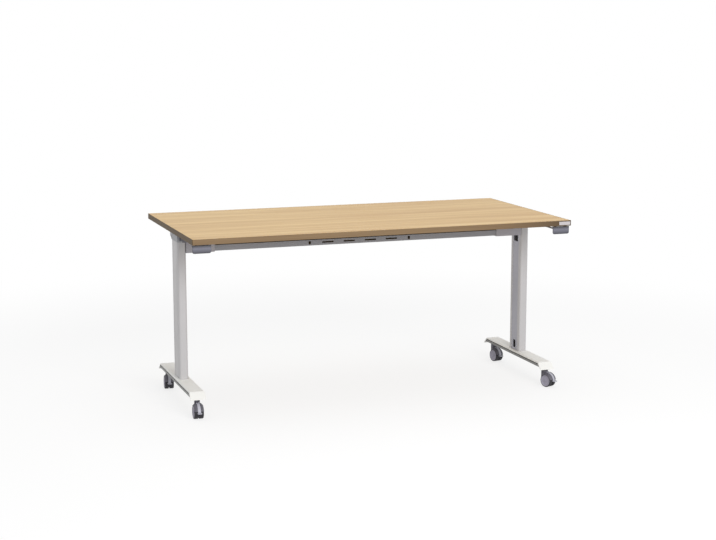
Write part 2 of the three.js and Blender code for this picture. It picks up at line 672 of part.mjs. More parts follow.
// A profile of (radius, along) points turned about the axle, which lies along x.
function turned(profile, sides) {
  const points = profile.map(([radius, along]) => new THREE.Vector2(radius, along));
  const ring = new THREE.LatheGeometry(points, sides, Math.PI / sides);
  return outward(ring.rotateZ(-Math.PI / 2));
}

const hoodInner = WHEEL_RADIUS + HOOD_GAP;
const hoodOuter = hoodInner + HOOD_THICK;
const pedalPinAt = aroundAxle(WHEEL_RADIUS + PEDAL_EAR + 2 * RUN + PEDAL_PIN, PEDAL_PIN_AT);
const castorHalf = CASTOR_WEB / 2 + WHEEL_WIDE;

// Hood: two rounded guards over the wheels, the neck that takes the stem, and the web between the wheels.
function castorHood() {
  const shoulder = castorHalf - HOOD_SHOULDER;
  const skirt = hoodOuter - HOOD_SHOULDER;
  const skirtInner = skirt - HOOD_SKIRT_THICK * Math.SQRT2;
  const shoulderInner = castorHalf - (hoodInner - skirtInner);
  const shell = turned([
    [hoodInner, -shoulderInner], [skirtInner, -castorHalf], [skirt, -castorHalf], [hoodOuter, -shoulder],
    [hoodOuter, shoulder], [skirt, castorHalf], [skirtInner, castorHalf], [hoodInner, shoulderInner],
    [hoodInner, -shoulderInner],
  ], 2 * WHEEL_SIDES).translate(0, -CASTOR_TRAIL, axleZ);
  const span = axleSector(skirtInner - PAST, hoodOuter + PAST, HOOD_FROM, HOOD_TO);
  const arch = overlap(shell, alongX(span, -castorHalf - PAST, castorHalf + PAST, 7));
  const neckLow = axleZ + WHEEL_RADIUS / 3;
  const neck = join(bar('z', NECK_RADIUS, neckLow, NECK_TOP, 0, 0, 16),
    block(-NECK_RADIUS, NECK_RADIUS, -NECK_FORWARD, 0, neckLow, NECK_TOP));
  const slotHalf = PEDAL_WIDE / 2 + 2 * RUN;
  const slotBack = pedalPinAt[0] + PEDAL_EAR + 4 * RUN;
  const pedalWay = block(-slotHalf, slotHalf, -CASTOR_TRAIL - 2 * hoodOuter, slotBack, axleZ, NECK_TOP);
  const webHalf = CASTOR_WEB / 2 - GAP;
  const wheelWays = [-1, 1].map((side) => {
    const [x0, x1] = [side * webHalf, side * (castorHalf + PAST)].sort((a, b) => a - b);
    return bar('x', hoodInner, x0, x1, -CASTOR_TRAIL, axleZ, 20);
  });
  const web = new THREE.Shape();
  web.moveTo(-CASTOR_TRAIL, axleZ);
  web.lineTo(0, neckLow);
  web.lineTo(0, axleZ + hoodInner);
  web.absarc(pedalPinAt[0], pedalPinAt[1], PEDAL_EAR, 0, Math.PI);
  const spine = join(alongX(web, -webHalf, webHalf),
    bar('x', WEB_RADIUS, -webHalf, webHalf, -CASTOR_TRAIL, axleZ, WHEEL_SIDES));
  const stub = bar('x', PEDAL_PIN, -PEDAL_WIDE / 2, PEDAL_WIDE / 2, ...pedalPinAt, 12);
  const socket = bar('z', STEM_RADIUS + RUN, NECK_TOP - STEM_GRIP - GAP, NECK_TOP + PAST, 0, 0, 16);
  const bore = bar('x', AXLE_RADIUS + GAP, -castorHalf, castorHalf, -CASTOR_TRAIL, axleZ, 16);
  const guards = cut(join(arch, cut(neck, ...wheelWays)), pedalWay);
  return cut(join(guards, spine, stub), socket, bore);
}

function castorAxle() {
  const dish = CASTOR_WEB / 2 + WHEEL_WIDE - WHEEL_DISH;
  const shank = bar('x', AXLE_RADIUS, -dish - PAST, dish + PAST, -CASTOR_TRAIL, axleZ, 16);
  const heads = [-1, 1].map((side) => {
    const [from, to] = [side * (dish + GAP), side * (dish + GAP + AXLE_HEAD_THICK)].sort((a, b) => a - b);
    return bar('x', AXLE_HEAD, from, to, -CASTOR_TRAIL, axleZ, 16);
  });
  return join(shank, ...heads);
}

// Wheel: turned about its axle, with a rounded tread and a dished outer face.
function castorWheel() {
  const [inside, outside] = [CASTOR_WEB / 2, castorHalf];
  const bore = AXLE_RADIUS + RUN;
  const rim = WHEEL_RADIUS - WHEEL_RIM;
  const eased = WHEEL_SHOULDER * (1 - Math.SQRT1_2);
  return turned([
    [bore, inside], [WHEEL_RADIUS - WHEEL_ROUND, inside], [WHEEL_RADIUS, inside + WHEEL_ROUND],
    [WHEEL_RADIUS, outside - WHEEL_SHOULDER], [WHEEL_RADIUS - eased, outside - eased],
    [WHEEL_RADIUS - WHEEL_SHOULDER, outside], [rim, outside], [rim - WHEEL_DISH, outside - WHEEL_DISH],
    [bore, outside - WHEEL_DISH], [bore, inside],
  ], WHEEL_SIDES);
}

// Brake pedal: a strap bent round between the guards, with a cheek beside the web and a toe tab in front.
function brakePedal() {
  const half = PEDAL_WIDE / 2;
  const strapOuter = hoodInner + PEDAL_THICK;
  const strap = alongX(axleSector(hoodInner, strapOuter, PEDAL_FROM, PEDAL_TO), -half, half, 5);
  const [pinY, pinZ] = pedalPinAt;
  const ear = PEDAL_EAR + RUN;
  const cheeks = [-1, 1].map((side) => {
    const [x0, x1] = [side * CASTOR_WEB / 2, side * half].sort((a, b) => a - b);
    const arm = alongX(axleSector(hoodInner, strapOuter, PEDAL_PIN_AT, PEDAL_FROM + PAST), x0, x1, 2);
    return join(bar('x', ear, x0, x1, pinY, pinZ), arm);
  });
  const [toeY, toeZ] = aroundAxle(strapOuter, PEDAL_TO);
  const toe = block(-TOE_WIDE / 2, TOE_WIDE / 2, toeY - TOE_LONG, toeY + PEDAL_THICK,
    toeZ - PEDAL_THICK / 2, toeZ + PEDAL_THICK / 2);
  const bore = bar('x', PEDAL_PIN + RUN, -half - PAST, half + PAST, pinY, pinZ, 12);
  return cut(join(strap, toe, ...cheeks), bore);
}

function addCastor(leg, end, label) {
  const castor = new THREE.Group();
  castor.position.y = end * STEM_SPACING / 2;
  castor.rotation.z = THREE.MathUtils.degToRad(CASTOR_TURNS[label]);
  leg.add(castor);
  piece(castor, `castor_stem_${label}`, castorStem(), steel);
  piece(castor, `castor_hood_${label}`, castorHood(), darkPlastic);
  piece(castor, `castor_axle_${label}`, castorAxle(), steel);
  piece(castor, `brake_pedal_${label}`, brakePedal(), pedalGrey);
  for (const [side, turn] of [['left', Math.PI], ['right', 0]]) {
    const wheel = piece(castor, `castor_wheel_${label}_${side}`, castorWheel(), wheelGrey);
    wheel.position.set(0, -CASTOR_TRAIL, axleZ);
    wheel.rotation.z = turn;
  }
}

function addLeg(side, label) {
  const inward = -side;
  const leg = new THREE.Group();
  leg.position.x = side * legX;
  table.add(leg);
  piece(leg, `foot_${label}`, foot(), whitePaint);
  piece(leg, `foot_bolt_${label}`, footBolt(), steel);
  piece(leg, `column_nut_${label}`, nutBlock(inward), steel);
  piece(leg, `column_${label}`, columnTube(inward), silverPaint);
  piece(leg, `column_cover_${label}`, columnCover(inward), silverPaint);
  piece(leg, `flip_head_${label}`, flipHead(inward), castGrey);
  piece(leg, `pivot_pin_${label}`, pivotPin(), steel);
  piece(leg, `top_bracket_${label}`, topBracket(), steel);
  piece(leg, `latch_bolt_${label}`, latchBolt(), steel);
  piece(leg, `latch_spring_${label}`, latchSpring(), steel);
  piece(leg, `pull_rod_${label}`, pullRod(), steel);
  piece(leg, `lever_housing_${label}`, leverHousing(), darkPlastic);
  piece(leg, `lever_pin_${label}`, leverPin(), steel);
  piece(leg, `release_lever_${label}`, releaseLever(), slatePlastic);
  addCastor(leg, -1, `${label}_front`);
  addCastor(leg, 1, `${label}_back`);
}

// Beam: a folded channel that carries the cables, its front wall slotted, gripped by two end brackets.
function addBeam() {
  const base = underside - BEAM_BASE_DROP;
  const half = BEAM_DEEP / 2;
  const end = legX - COLUMN_WIDE / 2;
  const long = end - BEAM_END_LONG + BEAM_GRIP;
  const channel = (y, low, high, wall) => outline([
    [-y, high], [-y, low], [y, low], [y, high], [y - wall, high],
    [y - wall, low + wall], [-y + wall, low + wall], [-y + wall, high],
  ]);
  const fold = alongX(channel(half, base, base + BEAM_TALL, BEAM_WALL), -long, long);
  const opening = (x, wide, tall) => {
    const [low, high] = [base + SLOT_RISE - tall / 2, base + SLOT_RISE + tall / 2];
    return block(x - wide / 2, x + wide / 2, -half - PAST, -half + BEAM_WALL + PAST, low, high);
  };
  const slots = [-1.5, -0.5, 0.5, 1.5].map((n) => opening(n * SLOT_PITCH, SLOT_LONG, SLOT_TALL));
  const ties = [-0.5, 0.5].map((n) => opening(n * TIE_HOLE_SPACING, TIE_HOLE_WIDE, TIE_HOLE_TALL));
  piece(table, 'cable_beam', cut(fold, ...slots, ...ties), greyPaint);

  const seat = base - GAP - BEAM_END_WALL;
  const outer = half + GAP + BEAM_END_WALL;
  const crown = underside - BEAM_END_TOP_DROP;
  for (const [side, label] of [[-1, 'left'], [1, 'right']]) {
    const [near, far] = [side * (end - BEAM_END_LONG), side * end].sort((a, b) => a - b);
    const shell = alongX(channel(outer, seat, crown, BEAM_END_WALL), near, far);
    const [plateIn, plateOut] = [side * (end - BEAM_END_WALL), side * end].sort((a, b) => a - b);
    const plate = block(plateIn, plateOut, -outer, outer, seat, columnTop);
    piece(table, `beam_end_${label}`, join(shell, plate), silverPaint);
  }
}

addTabletop();
addLeg(-1, 'left');
addLeg(1, 'right');
addBeam();

export default table;
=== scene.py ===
# Flip top training table: the looks of every piece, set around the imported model. Metres, +Z up.

import json
import math

import bpy
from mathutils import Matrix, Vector


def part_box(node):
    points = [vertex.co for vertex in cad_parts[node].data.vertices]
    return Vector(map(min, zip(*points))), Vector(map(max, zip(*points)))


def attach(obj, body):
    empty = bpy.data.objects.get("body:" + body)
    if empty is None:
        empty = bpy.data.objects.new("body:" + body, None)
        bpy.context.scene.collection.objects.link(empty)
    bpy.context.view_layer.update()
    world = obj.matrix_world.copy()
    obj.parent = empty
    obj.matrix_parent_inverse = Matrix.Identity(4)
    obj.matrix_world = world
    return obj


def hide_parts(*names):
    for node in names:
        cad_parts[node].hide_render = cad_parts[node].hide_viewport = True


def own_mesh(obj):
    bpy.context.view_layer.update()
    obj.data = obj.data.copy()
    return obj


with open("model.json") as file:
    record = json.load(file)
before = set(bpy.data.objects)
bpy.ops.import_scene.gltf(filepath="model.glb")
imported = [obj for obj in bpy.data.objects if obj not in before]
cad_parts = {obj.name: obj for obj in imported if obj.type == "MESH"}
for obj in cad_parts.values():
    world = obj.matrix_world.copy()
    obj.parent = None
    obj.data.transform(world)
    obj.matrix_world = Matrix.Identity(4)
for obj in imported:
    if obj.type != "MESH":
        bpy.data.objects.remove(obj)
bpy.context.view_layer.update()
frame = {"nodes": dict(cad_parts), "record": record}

# Tabletop board
# A particle board faced on both sides with a pale oak laminate, its straight grain along the length.
# It is sawn square and carried by two steel brackets, which are screwed to its underside.

MM = 0.001
BOARD_EASE = 0.4 * MM


class Wire:
    """One output of a finish's nodes; sums, products and comparisons of wires add Math nodes."""

    def __init__(self, tree, socket=None):
        self.tree = tree
        self.socket = socket

    def node(self, kind, settings=None, inputs=None, output=0):
        """Adds a node with its settings and inputs, and gives the wire of one of its outputs."""
        made = self.tree.nodes.new(kind)
        for name, value in (settings or {}).items():
            setattr(made, name, value)
        for name, value in (inputs or {}).items():
            if isinstance(value, Wire):
                self.tree.links.new(value.socket, made.inputs[name])
            else:
                made.inputs[name].default_value = value
        return Wire(self.tree, made.outputs[output])

    def math(self, operation, first, second):
        return self.node("ShaderNodeMath", {"operation": operation}, {0: first, 1: second})

    def mix(self, share, first, second):
        """Blends two colours, from the first at a share of 0 to the second at 1."""
        return self.node("ShaderNodeMix", {"data_type": "RGBA"}, {0: share, 6: first, 7: second}, 2)

    def place(self):
        """The place on the piece, in metres."""
        return self.node("ShaderNodeTexCoord", output="Object")

    def axes(self):
        """The place along the length, across the table and up, each as a wire."""
        apart = self.node("ShaderNodeSeparateXYZ", inputs={0: self.place()}).socket.node
        return [Wire(self.tree, output) for output in apart.outputs]

    def noise(self, cells, detail=2.0, at=None, roughness=0.5):
        """Cloudy noise with so many cells in a metre, given for all axes or for each of them."""
        if isinstance(cells, float):
            cells = (cells, cells, cells)
        spread = self.node("ShaderNodeMapping", inputs={"Vector": at or self.place(), "Scale": cells})
        inputs = {"Vector": spread, "Scale": 1.0, "Detail": detail, "Roughness": roughness}
        return self.node("ShaderNodeTexNoise", inputs=inputs)

    def rise(self, value, start, end):
        """Rises evenly from 0, where a value is at its start, to 1, where it is at its end."""
        inputs = {"Value": value, "From Min": start, "From Max": end}
        return self.node("ShaderNodeMapRange", inputs=inputs)

    def bump(self, height, distance, strength=1.0):
        inputs = {"Height": height, "Distance": distance, "Strength": strength}
        return self.node("ShaderNodeBump", inputs=inputs)

    def __abs__(self):
        return self.math("ABSOLUTE", self, 0.0)

    def __add__(self, other):
        return self.math("ADD", self, other)

    def __sub__(self, other):
        return self.math("SUBTRACT", self, other)

    def __rsub__(self, other):
        return self.math("SUBTRACT", other, self)

    def __mul__(self, other):
        return self.math("MULTIPLY", self, other)

    def __gt__(self, other):
        return self.math("GREATER_THAN", self, other)

    def __lt__(self, other):
        return self.math("LESS_THAN", self, other)

    __radd__ = __add__
    __rmul__ = __mul__


def linear(red, green, blue):
    """A colour written in 0 to 255 screen values, as the linear colour that a shader takes."""
    def channel(value):
        share = value / 255
        return share / 12.92 if share <= 0.04045 else ((share + 0.055) / 1.055) ** 2.4
    return (channel(red), channel(green), channel(blue), 1.0)


def deeper(colour, share):
    """A colour darkened to a share of itself."""
    return tuple(part * share for part in colour[:3]) + (1.0,)


def start_finish(name, metallic=0.0):
    """A new material, with the wire that its nodes start from and its shader."""
    material = bpy.data.materials.new(name)
    material.use_nodes = True
    shader = material.node_tree.nodes["Principled BSDF"]
    shader.inputs["Metallic"].default_value = metallic
    return material, Wire(material.node_tree), shader


def feed(shader, **links):
    """Links wires into a shader's sockets, named in lower case with underscores."""
    for name, wire in links.items():
        socket = shader.inputs[name.replace("_", " ").title()]
        wire.tree.links.new(wire.socket, socket)


# Cells of the grain in a metre: along the length, across the table and up.
GRAIN_BANDS = (0.8, 19.0, 19.0)
GRAIN_STREAKS = (3.0, 150.0, 150.0)
GRAIN_PORES = (26.0, 900.0, 900.0)
BAND_CONTRAST = 2.9
STREAK_CONTRAST = 1.7
GRAIN_LEVEL = 1.8
PORE_LEVEL = 0.63
PORE_STRENGTH = 0.22


def oak_finish(name, pale, dark):
    """Oak laminate: broad bands, fine streaks and short pores, all drawn out along the length."""
    material, wire, shader = start_finish(name)
    bands = wire.noise(GRAIN_BANDS, detail=6.0, roughness=0.62)
    streaks = wire.noise(GRAIN_STREAKS, detail=4.0, roughness=0.6)
    pores = wire.noise(GRAIN_PORES) > PORE_LEVEL
    tone = bands * BAND_CONTRAST + streaks * STREAK_CONTRAST - GRAIN_LEVEL
    shade = wire.node("ShaderNodeClamp", inputs={"Value": tone})
    colour = wire.mix(shade, pale, dark)
    pitted = wire.mix(pores * PORE_STRENGTH, colour, deeper(dark, 0.5))
    shader.inputs["Specular IOR Level"].default_value = 0.35
    feed(shader, base_color=pitted, roughness=0.40 + 0.12 * streaks)
    feed(shader, normal=wire.bump(streaks - pores * 0.4, 0.12 * MM, 0.5))
    return material


def choose(piece):
    """Makes a piece the only selected object."""
    bpy.ops.object.select_all(action="DESELECT")
    piece.select_set(True)
    bpy.context.view_layer.objects.active = piece


def start_block(name, low, high):
    """A block between two opposite corners, as the start of a piece."""
    bpy.ops.object.select_all(action="DESELECT")
    low = Vector(low)
    high = Vector(high)
    bpy.ops.mesh.primitive_cube_add(size=1, location=(low + high) / 2)
    piece = bpy.context.object
    piece.name = name
    piece.scale = high - low
    bpy.ops.object.transform_apply(location=True, rotation=True, scale=True)
    return piece


def round_edges(piece, width, segments=2, sharper_than=40):
    """Rounds every edge sharper than an angle, and smooths the shading across the rounding."""
    choose(piece)
    rounding = piece.modifiers.new("rounding", "BEVEL")
    rounding.width = width
    rounding.segments = segments
    rounding.limit_method = "ANGLE"
    rounding.angle_limit = math.radians(sharper_than)
    rounding.use_clamp_overlap = True
    bpy.ops.object.modifier_apply(modifier=rounding.name)
    bpy.ops.object.shade_smooth_by_angle(angle=math.radians(sharper_than))
    even = piece.modifiers.new("even", "WEIGHTED_NORMAL")
    even.keep_sharp = True
    bpy.ops.object.modifier_apply(modifier=even.name)


def fit(piece, material, body, slot, *nodes):
    """Gives a finished piece its material, its body and the nodes it stands for, which it hides; its
    slot is not used.
    """
    piece.data.materials.clear()
    piece.data.materials.append(material)
    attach(piece, body)
    if nodes:
        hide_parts(*nodes)


oak = oak_finish("oak_laminate", pale=linear(223, 190, 132), dark=linear(196, 157, 101))
board = start_block("board", *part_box("tabletop_board"))
round_edges(board, BOARD_EASE)
fit(board, oak, "top", "oak_laminate", "tabletop_board")

# Edge band
# A 2 mm plastic band glued round the four edges of the board and trimmed flush, with its arrises eased.
# Its printed grain follows each edge, and it is a browner tone than the top. Painted shade darkens it
# towards the right end, and most on its two end strips.

BAND_THICK = 2 * MM
BAND_CORNER = 3 * MM
BAND_EASE = 0.7 * MM
BAND_DRAWN = 60.0
END_SHADE_STRENGTH = 0.8


def pick_faces(piece, wanted):
    """Opens a piece in edit mode with only those faces selected that wanted(face) names."""
    choose(piece)
    bpy.ops.object.mode_set(mode="EDIT")
    bpy.ops.mesh.select_mode(type="FACE")
    bpy.ops.mesh.select_all(action="DESELECT")
    bpy.ops.object.mode_set(mode="OBJECT")
    for face in piece.data.polygons:
        face.select = wanted(face)
    bpy.ops.object.mode_set(mode="EDIT")


def pick_edges(piece, wanted):
    """Opens a piece in edit mode with only those edges selected that wanted(start, end) names."""
    choose(piece)
    bpy.ops.object.mode_set(mode="EDIT")
    bpy.ops.mesh.select_mode(type="EDGE")
    bpy.ops.mesh.select_all(action="DESELECT")
    bpy.ops.object.mode_set(mode="OBJECT")
    for edge in piece.data.edges:
        start, end = (piece.data.vertices[v].co for v in edge.vertices)
        edge.select = wanted(start, end)
    bpy.ops.object.mode_set(mode="EDIT")


def close_edit():
    """Leaves edit mode."""
    bpy.ops.object.mode_set(mode="OBJECT")


def band_finish(name, half_length):
    """Printed band: streaks along each edge, with painted shade towards the right end and on the end
    strips.
    """
    material, wire, shader = start_finish(name)
    length, across, height = wire.axes()
    run_inputs = {"X": length + across, "Y": height * BAND_DRAWN}
    run = wire.node("ShaderNodeCombineXYZ", inputs=run_inputs)
    streaks = wire.noise((3.0, 6.0, 1.0), detail=5.0, at=run, roughness=0.6)
    clouds = wire.noise((1.2, 0.4, 1.0), at=run)
    tone = wire.node("ShaderNodeClamp", inputs={"Value": streaks * 1.4 + clouds * 0.6 - 0.5})
    colour = wire.mix(tone, linear(154, 129, 99), linear(124, 101, 76))
    # Painted shade: the band darkens more and more from a third of the way to its right end.
    along = wire.rise(length, half_length / 3, half_length)
    painted_right_shade = wire.mix(along * along, colour, linear(90, 75, 59))
    # Painted shade: the two end strips are darkened further.
    end_shade_mask = abs(length) > half_length - BAND_THICK
    shaded = wire.mix(end_shade_mask * END_SHADE_STRENGTH, painted_right_shade, linear(90, 74, 50))
    shader.inputs["Specular IOR Level"].default_value = 0.12
    feed(shader, base_color=shaded, roughness=0.42 + 0.15 * streaks)
    feed(shader, normal=wire.bump(streaks, 0.1 * MM, 0.4))
    return material


band_low, band_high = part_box("edge_band")
band = start_block("band", band_low, band_high)
pick_edges(band, lambda start, end: abs(start.z - end.z) > BAND_THICK)
bpy.ops.mesh.bevel(offset=BAND_CORNER, segments=5)
close_edit()
pick_faces(band, lambda face: abs(face.normal.z) > 0.9)
bpy.ops.mesh.inset(thickness=BAND_THICK)
bpy.ops.mesh.bridge_edge_loops()
close_edit()
round_edges(band, BAND_EASE, segments=3)
fit(band, band_finish("oak_band", band_high.x), "top", "oak_band", "edge_band")

# Label plate
# A small pale plastic plate, stuck on the front edge near the right end and left bare.
# Its face is finely brushed, and a thin rim stands round it.

LABEL_RIM = 1.2 * MM
LABEL_SINK = 0.35 * MM
LABEL_EASE = 0.25 * MM


def plate_finish(name):
    """Pale plate: faint clouds, and fine lines brushed along it."""
    material, wire, shader = start_finish(name, metallic=0.15)
    clouds = wire.noise(60.0, detail=3.0)
    brush = wire.noise((40.0, 40.0, 3000.0))
    colour = wire.mix(clouds, linear(208, 202, 203), linear(194, 188, 190))
    feed(shader, base_color=colour, roughness=0.34 + 0.16 * brush)
    feed(shader, normal=wire.bump(brush, 0.05 * MM, 0.3))
    return material


label = start_block("label_plate", *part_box("edge_label_plate"))
pick_faces(label, lambda face: face.normal.y < -0.9)
bpy.ops.mesh.inset(thickness=LABEL_RIM)
bpy.ops.transform.translate(value=(0, LABEL_SINK, 0))
close_edit()
round_edges(label, LABEL_EASE)
fit(label, plate_finish("pale_plate"), "top", "pale_label", "edge_label_plate")

# Columns
# Two rolled steel tubes with rounded corners and a fine flute down the outer face, coated silver.
# Each is open on its inner side for the cables, and a bolt from below clamps it to its foot.

SIDES = ("left", "right")
COLUMN_EASE = 0.4 * MM
MERGE_WITHIN = 0.01 * MM
FLAT_WITHIN = math.radians(0.5)


def coated(name, colour, shade=0.92, metallic=0.0, gloss=0.38):
    """Sprayed coat: a faint orange peel, a slight change of tone, and a little dust."""
    material, wire, shader = start_finish(name, metallic)
    peel = wire.noise(420.0)
    clouds = wire.noise(9.0, detail=4.0)
    specks = wire.noise(1500.0, detail=1.0) > 0.68
    tone = wire.mix(clouds, colour, deeper(colour, shade))
    dusty = wire.mix(specks * 0.16, tone, deeper(colour, 0.6))
    feed(shader, base_color=dusty, roughness=gloss + 0.14 * clouds)
    feed(shader, normal=wire.bump(peel, 0.12 * MM, 0.25))
    return material


def node_copy(node):
    """A merged copy of a model's node with its flat faces joined, as the start of a piece."""
    piece = bpy.data.objects.new(f"{node}_skin", frame["nodes"][node].data.copy())
    bpy.context.scene.collection.objects.link(piece)
    choose(piece)
    bpy.ops.object.mode_set(mode="EDIT")
    bpy.ops.mesh.select_all(action="SELECT")
    bpy.ops.mesh.remove_doubles(threshold=MERGE_WITHIN)
    bpy.ops.mesh.dissolve_limited(angle_limit=FLAT_WITHIN)
    close_edit()
    return piece


def dressed(node, rounding, segments=2, sharper_than=35):
    """A copy of a model's node with its edges rounded."""
    piece = node_copy(node)
    round_edges(piece, rounding, segments, sharper_than)
    return piece


silver = coated("silver_paint", linear(203, 201, 202), metallic=0.18, gloss=0.3)
for leg in SIDES:
    column = dressed(f"column_{leg}", COLUMN_EASE)
    fit(column, silver, "frame", "silver_paint", f"column_{leg}")

# Cable covers
# A moulded plastic strip snaps into the mouth of each column and is sprayed to match it.
# It has a hole under the beam and a slot above the foot, where the cables pass.

COVER_CORNER = 1.8 * MM
COVER_EASE = 0.4 * MM
COVER_LONG_EDGE = 200 * MM


def roll_edges(piece, width, segments, wanted):
    """Rolls those edges of a piece that wanted(start, end) names to a wider radius."""
    pick_edges(piece, wanted)
    bpy.ops.mesh.bevel(offset=width, segments=segments, clamp_overlap=True)
    close_edit()


cover_spray = coated("cover_spray", linear(171, 170, 178), metallic=0.5, gloss=0.34)
for leg in SIDES:
    low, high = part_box(f"column_cover_{leg}")
    face_x = high.x if leg == "left" else low.x
    cover = node_copy(f"column_cover_{leg}")
    roll_edges(cover, COVER_CORNER, 3, lambda start, end: (
        abs(start.z - end.z) > COVER_LONG_EDGE
        and abs(start.x - face_x) < MM
        and abs(end.x - face_x) < MM
    ))
    round_edges(cover, COVER_EASE)
    fit(cover, cover_spray, "frame", "cover_plastic", f"column_cover_{leg}")

# Feet
# Each foot is pressed from sheet steel as a channel, open below, with sloped noses, and coated white.
# A groove runs under its edge on both sides, its floor darkened with painted shade, with a greyer wall
# below it.
# The castors' stems screw into bosses under its ends.

FOOT_EDGE = 5 * MM
FOOT_BEND = 4 * MM
FOOT_EASE = 0.6 * MM
GROOVE_TALL = 5 * MM
GROOVE_DEEP = 1.4 * MM
NEAR_LINE = 0.1 * MM
NEAR_EDGE = 0.2 * MM
NEAR_WALL = 0.3 * MM
WALL_INDEX = 1
GROOVE_SHADE_INDEX = 2


def is_bend(points, corner, top):
    """Says whether an edge runs where a foot's top turns down into a nose.

    On a nose's slope, the distance from the middle of the foot and the height add up to the corner.
    """
    on_nose = all(abs(abs(point.y) + point.z - corner) < NEAR_LINE for point in points)
    return on_nose and top - max(point.z for point in points) < FOOT_EDGE - NEAR_EDGE


white = coated("white_paint", linear(248, 248, 245), shade=0.98)
wall_grey = coated("foot_wall", linear(146, 146, 145), shade=0.95)
# Painted shade: a dark coat on the groove's floor, where the recess lies in shadow.
groove_painted_shade = coated("foot_groove_shade", linear(66, 65, 64), shade=0.9, gloss=0.6)
for leg in SIDES:
    foot_low, foot_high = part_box(f"foot_{leg}")
    middle = (foot_low.x + foot_high.x) / 2
    wall = foot_high.x - middle
    corner = foot_high.y + foot_low.z
    foot = node_copy(f"foot_{leg}")
    roll_edges(foot, FOOT_BEND, 6, lambda *points: is_bend(points, corner, foot_high.z))
    round_edges(foot, FOOT_EASE, sharper_than=35)
    fit(foot, white, "frame", "white_paint", f"foot_{leg}")
    foot.data.materials.append(wall_grey)
    foot.data.materials.append(groove_painted_shade)
    for face in foot.data.polygons:
        from_middle = abs(face.center.x - middle)
        below_slope = (corner - abs(face.center.y) - face.center.z) / math.sqrt(2)
        below_skin = min(foot_high.z - face.center.z, below_slope)
        if abs(face.normal.x) < 0.7 or below_skin < FOOT_EDGE - NEAR_EDGE:
            continue
        # The groove's floor takes the painted shade.
        if abs(from_middle - wall + GROOVE_DEEP) < NEAR_WALL:
            face.material_index = GROOVE_SHADE_INDEX
        elif from_middle > wall - NEAR_WALL and below_skin > FOOT_EDGE + GROOVE_TALL - NEAR_EDGE:
            face.material_index = WALL_INDEX

# Foot bolts and nut blocks
# A zinc plated steel bolt comes up through each foot.
# It screws into a steel block inside the column, and so clamps the two together.

BOLT_EASE = 0.3 * MM


def plated_finish(name, pale, dark, gloss):
    """Zinc plate with fine drawn lines and cloudy patches."""
    material, wire, shader = start_finish(name, metallic=1.0)
    drawn = wire.noise((120.0, 1200.0, 1200.0))
    clouds = wire.noise(45.0, detail=3.0)
    colour = wire.mix(clouds, pale, dark)
    feed(shader, base_color=colour, roughness=gloss + 0.18 * clouds + 0.06 * drawn)
    feed(shader, normal=wire.bump(drawn, 0.04 * MM, 0.3))
    return material


plated = plated_finish("plated_steel", linear(196, 197, 203), linear(160, 162, 170), gloss=0.26)
for leg in SIDES:
    for part in ("foot_bolt", "column_nut"):
        clamp = dressed(f"{part}_{leg}", BOLT_EASE)
        fit(clamp, plated, "frame", "plated_steel", f"{part}_{leg}")

# Flip heads and pivot pins
# A cast fork closes the top of each column and carries the steel pivot pin at its back.
# A window in its front takes the latch bolt.
# Its outer cheek is cast with a raised rim round a sunk panel.

CHEEK_RIM = 3 * MM
CHEEK_SINK = 1.2 * MM
HEAD_EASE = 0.5 * MM
PIN_EASE = 0.3 * MM

cast = coated("cast_grey", linear(176, 177, 180), shade=0.88, metallic=0.2, gloss=0.42)
for leg in SIDES:
    head = node_copy(f"flip_head_{leg}")
    head_low, head_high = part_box(f"flip_head_{leg}")
    side, face_x = (-1, head_low.x) if leg == "left" else (1, head_high.x)
    pick_faces(head, lambda face: (
        face.normal.x * side > 0.9 and abs(face.center.x - face_x) < NEAR_LINE
    ))
    bpy.ops.mesh.inset(thickness=CHEEK_RIM)
    bpy.ops.transform.translate(value=(-side * CHEEK_SINK, 0, 0))
    close_edit()
    round_edges(head, HEAD_EASE)
    fit(head, cast, "frame", "cast_grey", f"flip_head_{leg}")
    pin = dressed(f"pivot_pin_{leg}", PIN_EASE)
    fit(pin, plated, "frame", "plated_steel", f"pivot_pin_{leg}")

# Cable beam and its ends
# The beam is a folded steel channel that ties the legs and carries the cables, coated grey outside.
# Its front wall is slotted for ties, and its inside is darkened with painted shade, where the board
# above shades it.
# Each end is gripped by a taller folded bracket, bolted to the column's inner face.

BEAM_EASE = 0.4 * MM
BEAM_END_EASE = 0.5 * MM
BEAM_SKIN = 0.6 * MM
INSIDE_SHADE_INDEX = 1

grey = coated("grey_paint", linear(160, 161, 168), shade=0.93, metallic=0.15)
bracket_silver = coated("bracket_silver", linear(175, 173, 180), shade=0.95, metallic=0.2, gloss=0.34)
# Painted shade: a dark coat for the inside of the channel.
inside_shade = coated("inside_painted_shade", linear(70, 68, 70), shade=0.9, gloss=0.6)
beam_low, beam_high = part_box("cable_beam")
beam = dressed("cable_beam", BEAM_EASE)
fit(beam, grey, "frame", "grey_paint", "cable_beam")
beam.data.materials.append(inside_shade)
# Faces inside the channel take the painted shade.
for face in beam.data.polygons:
    in_depth = beam_low.y + BEAM_SKIN < face.center.y < beam_high.y - BEAM_SKIN
    faces_middle = face.normal.y * face.center.y < -0.5 * abs(face.center.y)
    looks_in = face.normal.z > 0.5 or faces_middle
    if in_depth and looks_in and face.center.z < beam_high.z - BEAM_SKIN:
        face.material_index = INSIDE_SHADE_INDEX
for leg in SIDES:
    beam_end = dressed(f"beam_end_{leg}", BEAM_END_EASE)
    fit(beam_end, bracket_silver, "frame", "silver_paint", f"beam_end_{leg}")

# Top brackets
# A dull plated steel bracket is screwed under each end of the board.
# It has the pivot's knuckle, the guide of the latch bolt and the stop of the spring.

BRACKET_EASE = 0.4 * MM

